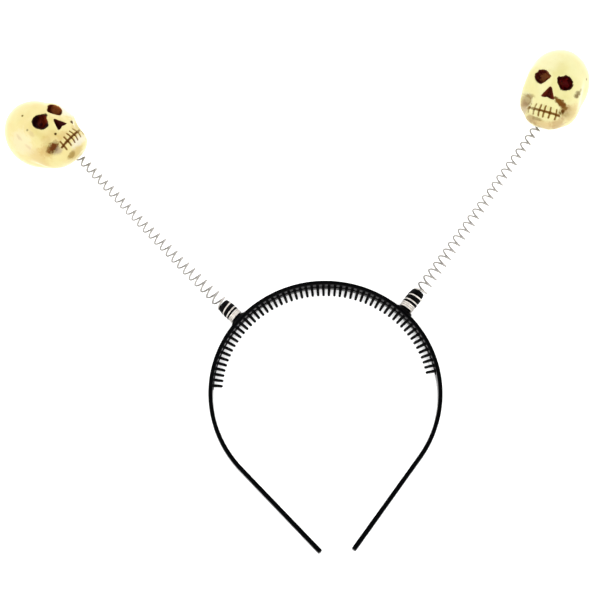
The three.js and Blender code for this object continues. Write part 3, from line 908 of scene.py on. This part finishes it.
def wash_and_painted_light_spot_group():
    """Mask of one spot of brown wash, painted shade and painted light alike: full at its centre, ragged
    and soft at its edge.
    """
    inputs = dict.fromkeys(("Place", "Centre", "Half Size"), "Vector")
    inputs.update(dict.fromkeys(("Ragged", "Strength"), "Float"))
    tree, _, source, sink = new_tree("wash and painted light spot", inputs, ("Mask", "Float"), "ShaderNodeTree")
    away = step_node(tree, "SUBTRACT", source.outputs["Place"], source.outputs["Centre"])
    share = step_node(tree, "DIVIDE", away.outputs["Vector"], source.outputs["Half Size"])
    reach = step_node(tree, "LENGTH", share.outputs["Vector"])
    rough_reach = combine(tree, "ADD", reach.outputs["Value"], source.outputs["Ragged"])
    mask = spread(tree, rough_reach, *SPOT_EDGE, smooth=True)
    tree.links.new(combine(tree, "MULTIPLY", mask, source.outputs["Strength"]), sink.inputs["Mask"])
    return tree


# Spots of brown wash, painted shade and painted light on each skull, each kind noted above its rows, on
# the upright skull in millimetres
WASH_AND_PAINTED_LIGHT_COLUMNS = ("spot", "at", "half", "strength", "tint")
WASH_AND_PAINTED_LIGHT = {
    "right": (
        # Painted light: a pale spot on the brow.
        ("brow painted light", (-6.0, -14.0, 14.0), (10, 9, 7), 0.15, "fffce0"),
        # jaw shade is painted shade on the near jaw; chin amber and jaw amber are amber on the lower chin
        # and jaw, partly the ivory's own tone and partly painted shade on the lower side.
        ("jaw shade", (12.4, -11.4, -8.6), (6.0, 7, 7.5), 0.5, "dab070"),
        ("chin amber", (3.4, -15.8, -20.4), (11, 6, 4.0), 0.7, "dcb874"),
        ("jaw amber", (9.4, -13.0, -17.0), (5.8, 6, 5.4), 0.8, "cca86c"),
        # far jaw, far chin and far cheek: painted shade on the far side of the jaw and chin and under the
        # far cheekbone.
        ("far jaw", (-11.6, -12.0, -13.4), (5.0, 6.0, 5.8), 0.85, "c2a878"),
        ("far chin", (-5.6, -15.4, -18.6), (5.2, 4.6, 3.4), 0.7, "b8945e"),
        ("far cheek", (-11.4, -11.4, -9.2), (5.4, 6.4, 4.8), 0.6, "b08c5c"),
        # far cheek edge: a ragged brown edge above the far cheek; then brown smudges and specks.
        ("far cheek edge", (-9.2, -14.4, -6.3), (4.8, 4.2, 1.7), 0.65, "98763e"),
        ("temple smudge", (15.0, -14.3, 2.4), (2.8, 2.6, 1.5), 0.8, "8a7450"),
        ("temple smudge foot", (14.3, -14.6, 0.6), (2.0, 2.0, 1.6), 0.85, "846c46"),
        ("temple smudge top", (15.6, -12.7, 4.6), (1.4, 1.8, 1.5), 0.6, "a08a5c"),
        ("speck", (15.7, -6.5, 11.9), (1.0, 1.0, 1.0), 0.8, "8a7444"),
        # cheek shade: painted shade under the near cheekbone.
        ("cheek shade", (10.4, -13.8, -8.0), (4.0, 4.6, 4.0), 0.6, "b88c4c"),
        # Brown wash and streaks by the nose, cheek, jaw and mouth.
        ("beside nose", (4.2, -18.4, -3.9), (1.7, 2.2, 1.1), 0.9, "74480e"),
        ("cheek streak", (6.6, -17.7, -5.0), (2.8, 3.0, 2.0), 1.0, "7c4e18"),
        ("cheek streak bend", (8.6, -16.0, -6.2), (2.8, 3.2, 2.3), 1.0, "7a4a14"),
        ("cheek streak end", (10.2, -13.8, -7.4), (2.0, 3.0, 2.0), 0.85, "845414"),
        ("jaw spot", (9.2, -12.4, -9.4), (2.0, 2.4, 1.8), 1.0, "74460c"),
        ("jaw spot foot", (8.5, -14.7, -10.9), (1.7, 2.1, 1.2), 0.8, "7c5420"),
        ("mouth end", (-8.2, -16.0, -12.8), (1.7, 2.0, 1.2), 0.7, "8c6428"),
        # Painted shadow under the lower lip.
        ("painted shadow under lip", (-2.4, -16.8, -17.4), (3.4, 2.8, 1.3), 0.65, "a08450"),
    ),
    "left": (
        # Painted light: a pale patch on the far cheek.
        ("far cheek painted light", (12.5, -13.5, 1.0), (6.5, 7, 6.5), 0.75, "fffdea"),
        # low amber, behind jaw and behind jaw up: painted shade on the lower back of the skull and behind
        # the jaw; the low amber is partly the ivory's own tone too.
        ("low amber", (-15.4, -4.6, -5.6), (8, 8, 8), 0.5, "e0bc70"),
        ("behind jaw", (-14.2, -10.4, -6.8), (3.8, 4.4, 5.4), 0.55, "d8ac54"),
        ("behind jaw up", (-12.3, -15.6, -4.2), (3.2, 3.6, 3.2), 0.3, "d4ac58"),
        # Amber tint under the eye and along the upper gum.
        ("under eye", (-8.4, -17.0, -4.2), (5.0, 4.0, 3.4), 0.25, "dcba66"),
        ("gum", (-5.0, -18.0, -8.6), (6.0, 4.0, 2.6), 0.4, "d8ac58"),
        ("far gum", (5.6, -17.6, -9.2), (3.4, 4.0, 2.2), 0.4, "d8b468"),
        # Specks, marks and patches of brown and grey wash, and dark eye paint at the eye's corner.
        ("crown speck", (-7.9, -13.3, 15.4), (0.9, 0.9, 0.9), 0.9, "7a5826"),
        ("temple speck", (-14.0, -14.0, 7.3), (0.8, 0.8, 0.8), 0.8, "7d6a40"),
        ("cheek speck", (-6.4, -17.6, -5.3), (0.95, 1.0, 0.95), 1.0, "4a2a0a"),
        ("eye corner", (-1.7, -18.3, 6.1), (1.7, 2.2, 1.4), 1.0, "240806"),
        ("far cheek", (8.0, -16.8, -6.1), (2.2, 2.0, 1.3), 1.0, "5c3a10"),
        ("jaw patch", (-10.0, -12.1, -8.8), (4.3, 5.0, 3.2), 1.0, "7c4418"),
        ("jaw patch tail", (-12.6, -10.3, -7.9), (2.2, 3.0, 1.7), 0.7, "8c5620"),
        ("jaw grey", (-9.9, -12.8, -12.2), (3.6, 3.4, 2.6), 0.7, "b8a084"),
        # chin amber is amber under the chin, partly the ivory's own tone and partly painted shade; chin
        # brown is painted shade along the chin's lower edge.
        ("chin amber", (-4.4, -15.0, -19.4), (6.0, 5.5, 2.6), 0.55, "d0aa5c"),
        ("chin brown", (-7.4, -13.8, -18.9), (2.9, 3.6, 1.8), 0.6, "947028"),
        # Painted light: the near side of the skull made paler.
        ("side painted light", (-17.0, -6.0, 6.0), (9, 9, 9), 0.5, "faecc4"),
        # Faint tan streaks on the side.
        ("side streak", (-16.3, -7.0, 9.2), (2.6, 1.3, 3.0), 0.3, "c09c78"),
        ("eye side streak", (-14.4, -14.2, 4.0), (2.2, 1.2, 2.4), 0.3, "c8a27a"),
        ("low streak", (-16.8, -6.4, 2.0), (2.8, 1.1, 2.8), 0.3, "cca67c"),
        # Painted light: a pale patch on the chin.
        ("chin painted light", (1.0, -16.8, -16.4), (7.5, 5.0, 2.8), 0.7, "fbf4de"),
    ),
}
# Ivory of each skull: pale, warm and dull
CREAMS = {"left": ("f2e492", "f0dc86", "e6ce88"), "right": ("f1eba2", "f0e696", "e6d48e")}
# Eyes towards -X and +X: paint over the upper and lower rim, rim colour, and the colour, place and half
# size of a painted pool of light inside the socket
EYE_COLUMNS = ("over", "rim", "lit", "lit_at", "lit_half")
EYES = {
    "left": (
        ((0.6, 1.2), "22080a", "70220c", (-3.6, -16.0, 4.8), (3.2, 8, 3.6)),
        ((0.6, 0.6), "4e1408", "a85c2c", (10.2, -14.5, 5.6), (3.2, 6, 3.8)),
    ),
    "right": (
        ((0.15, 0.1), "521410", "98582e", (-5.0, -13.0, 5.8), (4.4, 6, 3.6)),
        ((0.45, 0.4), "340505", "741212", (6.0, -13.0, 5.5), (3.6, 6, 3.4)),
    ),
}
EYE_HEIGHTS = (9, 1)
EYE_RAGGED = {"left": 0.28, "right": 0.8}
# Paint of the mouth, teeth and nose: how far it fills each line, and where the lines are faint and full
LINE_PAINT = {
    "left": dict(
        tooth="855012", tooth_soft=0.82, tooth_full=0.25, mouth="74400a", mouth_soft=0.98,
        mouth_full=0.38, faint=10, full=3, nose="420a0c",
    ),
    "right": dict(
        tooth="8c5c18", tooth_soft=0.8, tooth_full=0.23, mouth="825010", mouth_soft=0.98,
        mouth_full=0.38, faint=-10, full=-2, nose="6e2616",
    ),
}
FAINT_SHARE, TOOTH_PAINT_SHARE, MOUTH_PAINT_SHARE = 0.3, 0.9, 0.95
# Soft edges of the eye paint and nose paint, from bare to painted
EYE_PAINT_EDGE, NOSE_PAINT_EDGE = (0.2, -0.3), (0.35, -0.15)


def named_rows(columns, rows):
    return [dict(zip(columns, row)) for row in rows]


def with_wash_and_painted_light(tree, colour, place, ragged, row, wash_and_painted_light_spot):
    """The colour with one spot over it; brown wash, painted shade and painted light go on alike."""
    spot = tree.nodes.new("ShaderNodeGroup")
    spot.node_tree = wash_and_painted_light_spot
    spot.label = row["spot"]
    tree.links.new(place, spot.inputs["Place"])
    tree.links.new(ragged, spot.inputs["Ragged"])
    spot.inputs["Centre"].default_value = row["at"]
    spot.inputs["Half Size"].default_value = row["half"]
    spot.inputs["Strength"].default_value = row["strength"]
    return mix(tree, spot.outputs["Mask"], colour, paint(row["tint"]))


def eye_paint(tree, place, side, wash_and_painted_light_spot):
    """Distance from the ragged edge of the eye paint, and its colour: dark rims, with a painted pool of
    light inside.
    """
    across, _, height = three_ways(tree, place)
    which = spread(tree, across, -1, 1)
    eyes = named_rows(EYE_COLUMNS, EYES[side])
    ragged = uneven(tree, place, EYE_RAGGED[side], scale=0.62, detail=3, rough=0.6)
    shares = (spread(tree, which, 1, 0), which)
    overs = []
    for row, share in zip(eyes, shares):
        over_rim = spread(tree, height, *EYE_HEIGHTS, *row["over"])
        overs.append(combine(tree, "MULTIPLY", over_rim, share))
    over = combine(tree, "ADD", *overs)
    edge = combine(tree, "ADD", field(tree, "eye_edge").outputs["Fac"], ragged)
    colour = mix(tree, which, paint(eyes[0]["rim"]), paint(eyes[1]["rim"]))
    # Painted light: a lighter, redder pool inside each socket, where light falls in.
    for row in eyes:
        lit = ("lit inside", row["lit_at"], row["lit_half"], 1.0, row["lit"])
        colour = with_wash_and_painted_light(tree, colour, place, ragged, named_rows(WASH_AND_PAINTED_LIGHT_COLUMNS, [lit])[0], wash_and_painted_light_spot)
    return combine(tree, "SUBTRACT", edge, over), colour


def painted_ivory(side, wash_and_painted_light_spot):
    finish, tree, skin = new_finish(f"painted_ivory_{side}")
    place = field(tree, "upright").outputs["Vector"]
    cloud = noise(tree, scale=0.12, detail=4, rough=0.55, source=place)
    light, warm, dull = (paint(tint) for tint in CREAMS[side])
    colour = mix(tree, spread(tree, cloud, 0.35, 0.65), light, warm)
    grain = noise(tree, scale=0.55, detail=5, rough=0.65, source=place)
    colour = mix(tree, spread(tree, grain, 0.52, 0.75, out_high=0.25), colour, dull)
    ragged = uneven(tree, place, WASH_AND_PAINTED_LIGHT_RAGGED, scale=0.55, detail=4, rough=0.65)
    # Spots of brown wash, and spots of painted shade and painted light among them.
    for row in named_rows(WASH_AND_PAINTED_LIGHT_COLUMNS, WASH_AND_PAINTED_LIGHT[side]):
        colour = with_wash_and_painted_light(tree, colour, place, ragged, row, wash_and_painted_light_spot)
    fine = uneven(tree, place, LINE_RAGGED, scale=1.3, detail=3, rough=0.6)
    lines = LINE_PAINT[side]
    across = three_ways(tree, place)[0]
    full = spread(tree, across, lines["faint"], lines["full"], FAINT_SHARE, 1)
    for line, share in (("tooth", TOOTH_PAINT_SHARE), ("mouth", MOUTH_PAINT_SHARE)):
        away = combine(tree, "ADD", field(tree, f"{line}_line").outputs["Fac"], fine)
        edge = (lines[f"{line}_soft"], lines[f"{line}_full"])
        painted = combine(tree, "MULTIPLY", spread(tree, away, *edge, 0, share, smooth=True), full)
        colour = mix(tree, painted, colour, paint(lines[line]))
    eye, socket_paint = eye_paint(tree, place, side, wash_and_painted_light_spot)
    colour = mix(tree, spread(tree, eye, *EYE_PAINT_EDGE, smooth=True), colour, socket_paint)
    nose = combine(tree, "ADD", field(tree, "nose_edge").outputs["Fac"], fine)
    colour = mix(tree, spread(tree, nose, *NOSE_PAINT_EDGE, smooth=True), colour, paint(lines["nose"]))
    tree.links.new(colour, skin.inputs["Base Color"])
    tree.links.new(spread(tree, cloud, 0.3, 0.7, *IVORY_ROUGHNESS), skin.inputs["Roughness"])
    grey = tree.nodes.new("ShaderNodeRGBToBW")
    tree.links.new(colour, grey.inputs["Color"])
    tree.links.new(spread(tree, grey.outputs["Val"], *COATED_GREYS), skin.inputs["Coat Weight"])
    skin.inputs["Coat Roughness"].default_value = 0.4
    skin.inputs["Specular IOR Level"].default_value = 0.02
    pores = noise(tree, scale=1.6, detail=4, rough=0.6, source=place)
    tree.links.new(bumped(tree, pores, strength=0.12, distance=0.0004), skin.inputs["Normal"])
    return finish


# Floor, light and camera

FLOOR_REACH = 4000
FLOOR_CORNERS = ((-1, -1, 0), (1, -1, 0), (1, 1, 0), (-1, 1, 0))
# Sky at the sides, and in the patch that the flat black edges of the band mirror
SIDE_LIGHT, TOP_LIGHT = 3.3, 0.05
DARK_PATCH_WAY, DARK_PATCH_EDGE = (0, 0.276, 0.961), (0.86, 0.94)
KEY_PANEL = dict(at=(-0.35, 0.75, 1.1), aim=(0, 0.05, 0), size=0.9, power=2.4)
CAMERA_RISE, CAMERA_SWING, CAMERA_DISTANCE, SENSOR_WIDTH = 74, -3.9, 900, 36
CAMERA_AIM, PHOTO_MM_PER_PIXEL, PHOTO_PIXELS = (-10, 56, 0), 0.55, 600


def pale_floor():
    floor = mesh_object("floor", np.array(FLOOR_CORNERS) * FLOOR_REACH, [(0, 1, 2, 3)])
    finish, tree, skin = new_finish("pale_floor")
    cloud = noise(tree, scale=3, detail=2)
    colour = mix(tree, cloud, (0.9, 0.9, 0.9, 1), (0.92, 0.92, 0.92, 1))
    tree.links.new(colour, skin.inputs["Base Color"])
    skin.inputs["Roughness"].default_value = 0.9
    skin.inputs["Specular IOR Level"].default_value = 0.1
    floor.data.materials.append(finish)


def soft_panel(name, at, aim, size, power):
    lamp = bpy.data.lights.new(name, "AREA")
    lamp.shape = "DISK"
    lamp.size = size
    lamp.energy = power
    panel = bpy.data.objects.new(name, lamp)
    panel.location = at
    panel.rotation_euler = (Vector(aim) - Vector(at)).to_track_quat("-Z", "Y").to_euler()
    bpy.context.scene.collection.objects.link(panel)


def studio_sky():
    """Pale light from all sides, with a dark patch above."""
    world = bpy.data.worlds.new("studio")
    bpy.context.scene.world = world
    world.use_nodes = True
    tree = world.node_tree
    way = tree.nodes.new("ShaderNodeTexCoord").outputs["Generated"]
    near_patch = step_node(tree, "DOT_PRODUCT", way, DARK_PATCH_WAY)
    sky = tree.nodes["Background"]
    sky.inputs["Color"].default_value = (1, 1, 1, 1)
    light = spread(tree, near_patch.outputs["Value"], *DARK_PATCH_EDGE, SIDE_LIGHT, TOP_LIGHT, True)
    tree.links.new(light, sky.inputs["Strength"])


def photo_camera():
    """The photograph's view, from above and a little in front."""
    rise, swing = math.radians(CAMERA_RISE), math.radians(CAMERA_SWING)
    aim = Vector(in_part(CAMERA_AIM) * MM)
    level = math.cos(rise)
    back = Vector((math.sin(swing) * level, -math.cos(swing) * level, math.sin(rise)))
    lens = bpy.data.cameras.new("photo_camera")
    lens.sensor_width = SENSOR_WIDTH
    lens.lens = SENSOR_WIDTH * CAMERA_DISTANCE / PHOTO_MM_PER_PIXEL / PHOTO_PIXELS
    camera = bpy.data.objects.new("photo_camera", lens)
    camera.location = aim + back * CAMERA_DISTANCE * MM
    camera.rotation_euler = back.to_track_quat("Z", "Y").to_euler()
    bpy.context.scene.collection.objects.link(camera)
    bpy.context.scene.camera = camera


# Build

band_black = black_moulding("band_black", rough_low=0.1, rough_high=0.18, gloss=0.05)
post_black = black_moulding("post_black", rough_low=0.2, rough_high=0.3, gloss=0.015)
steel = drawn_steel()
wash_and_painted_light_spot = wash_and_painted_light_spot_group()

strip = headband_strip()
strip.data.materials.append(band_black)
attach(strip, "band")
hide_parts("headband")
teeth = comb_teeth(band_black)
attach(teeth, "band")

wire, wire_sockets = wire_tree()
for side in ("left", "right"):
    skull, seat = carved_skull(side)
    skull.data.materials.append(painted_ivory(side, wash_and_painted_light_spot))
    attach(skull, f"{side}_skull")
    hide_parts(f"skull_{side}")
    foot, out = post_frame(side)
    line = SpringLine(foot, out, seat, POSTS[side]["drift"])
    rows = turns_on(line, POSTS[side])
    post = spring_post(side, rows)
    post.data.materials.append(post_black)
    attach(post, "band")
    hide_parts(f"post_{side}")
    wire_middle, freedom = coil_points(line, rows)
    wire_steps = [(i, i + 1) for i in range(len(wire_middle) - 1)]
    coil = mesh_object(f"coil_spring_{side}", in_part(wire_middle), edges=wire_steps)
    coil.data.attributes.new("freedom", "FLOAT", "POINT").data.foreach_set("value", freedom)
    wire_values = {"Wire Radius": WIRE_RADIUS * MM, "Sides": WIRE_SIDES, "Finish": steel}
    made_by(wire, wire_sockets, coil, wire_values)
    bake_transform(coil)
    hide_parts(f"spring_{side}")

pale_floor()
studio_sky()
soft_panel("key_panel", **KEY_PANEL)
bpy.context.scene.view_settings.view_transform = "Standard"
photo_camera()
